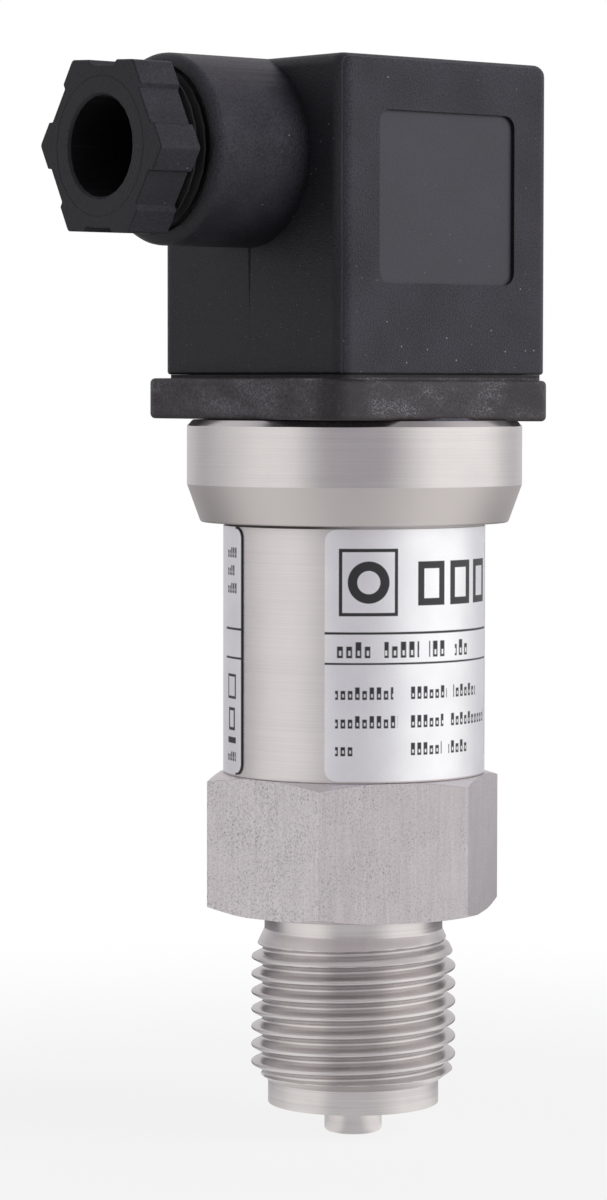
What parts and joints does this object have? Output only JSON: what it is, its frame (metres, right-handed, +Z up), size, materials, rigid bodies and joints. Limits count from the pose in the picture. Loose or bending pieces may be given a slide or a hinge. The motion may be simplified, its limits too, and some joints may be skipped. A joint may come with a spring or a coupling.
{
  "type": "pressure transmitter",
  "caption": "Pressure transmitter: steel hexagon body with a parallel male pipe thread, tapered collar, foil label, rubber gasket and a black angle plug with a cable gland.",
  "frame": {"origin": "centre of the sealing face on the spigot at the end of the process thread", "axes": "+Z up the body, away from the process; the plug's cable gland points along -X and its recessed panel faces -Y"},
  "size_m": [0.0499, 0.0342, 0.109],
  "materials": {
    "port_steel": "turned, with a finely pitted hexagon",
    "tube_steel": "finely brushed round the tube",
    "collar_steel": "turned, with fine rings",
    "label_foil": "satin foil with plain printed marks",
    "hood_plastic": "fine moulded texture",
    "gland_plastic": "fine moulded texture",
    "carrier_plastic": "smooth moulded",
    "block_plastic": "smooth moulded",
    "gasket_rubber": "matt, with a pale bloom",
    "seal_rubber": "matt",
    "cell_ceramic": "white alumina",
    "ring_steel": "turned",
    "board_laminate": "green solder resist",
    "board_components": "moulded packages",
    "flex_film": "amber film with tinned tracks",
    "contact_metal": "tinned brass",
    "bush_brass": "turned",
    "screw_steel": "zinc plated",
    "washer_steel": "zinc plated"
  },
  "bodies": {
    "device": {"process_connection": "port_steel", "cell_seal": "seal_rubber", "sensor_cell": "cell_ceramic", "sensor_ring": "ring_steel", "housing_tube": "tube_steel", "collar": "collar_steel", "type_label": "label_foil", "circuit_board": "board_laminate", "board_parts": "board_components", "sensor_flex": "flex_film", "plug_leads": "contact_metal", "contact_carrier": "carrier_plastic", "carrier_seal": "seal_rubber", "contact_blades": "contact_metal", "earth_blade": "contact_metal", "screw_bush": "bush_brass", "gasket_plate": "gasket_rubber"},
    "plug": {"plug_hood": "hood_plastic", "contact_block": "block_plastic", "socket_contacts": "contact_metal", "terminal_screws": "screw_steel", "gland_seal": "seal_rubber"},
    "screw_washer": {"screw_seal": "seal_rubber"},
    "screw": {"centre_screw": "screw_steel"},
    "gland_ring": {"gland_washer": "washer_steel"},
    "gland": {"gland_screw": "gland_plastic"}
  },
  "joints": [
    {"name": "plug_pull", "type": "slide", "parent": "device", "child": "plug", "axis": [0, 0, 1], "range_m": [0, 0.03]},
    {"name": "screw_lift", "type": "slide", "parent": "plug", "child": "screw_washer", "axis": [0, 0, 1], "range_m": [0, 0.007]},
    {"name": "screw_turn", "type": "hinge", "parent": "screw_washer", "child": "screw", "pos_m": [0, 0, 0.1033], "axis": [0, 0, 1], "range_deg": [0, 5040]},
    {"name": "gland_travel", "type": "slide", "parent": "plug", "child": "gland_ring", "axis": [-1, 0, 0], "range_m": [0, 0.006]},
    {"name": "gland_turn", "type": "hinge", "parent": "gland_ring", "child": "gland", "pos_m": [-0.026, 0, 0.0966], "axis": [-1, 0, 0], "range_deg": [0, 1440]}
  ],
  "couplings": [
    {"joint": "screw_turn", "follows": "screw_lift", "rad_per_m": 12566},
    {"joint": "gland_travel", "follows": "gland_turn", "m_per_rad": 0.00023873}
  ]
}
